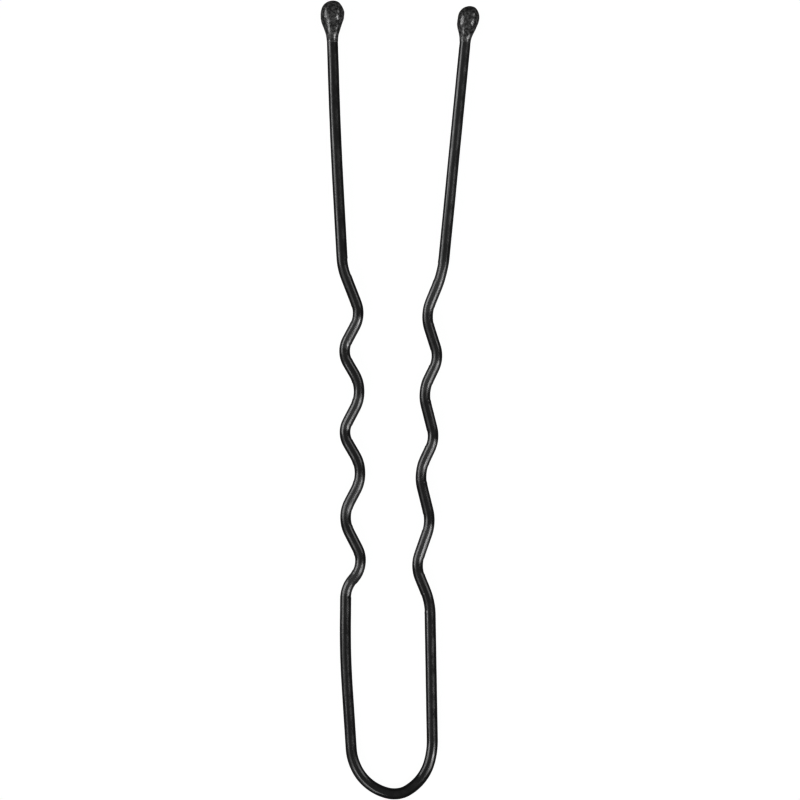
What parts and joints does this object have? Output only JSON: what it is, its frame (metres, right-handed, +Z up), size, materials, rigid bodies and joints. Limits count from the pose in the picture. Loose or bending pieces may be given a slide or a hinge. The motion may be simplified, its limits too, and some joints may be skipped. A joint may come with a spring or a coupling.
{
  "type": "french hair pin",
  "caption": "Long U-shaped hair pin of black lacquered steel wire with crimped legs and dipped drops on its ends.",
  "frame": {"origin": "on the floor under the middle of the lying pin's outline", "axes": "+Y from the loop towards the open ends, +X across the pin to the right leg, +Z up from the floor"},
  "size_m": [0.0148, 0.075, 0.0022],
  "materials": {
    "lacquered_wire": "satin black lacquer on steel wire",
    "dipped_drop": "glossy, slightly lumpy black dip"
  },
  "bodies": {
    "root": {"wire": "lacquered_wire", "tip_left": "dipped_drop", "tip_right": "dipped_drop"}
  },
  "joints": []
}
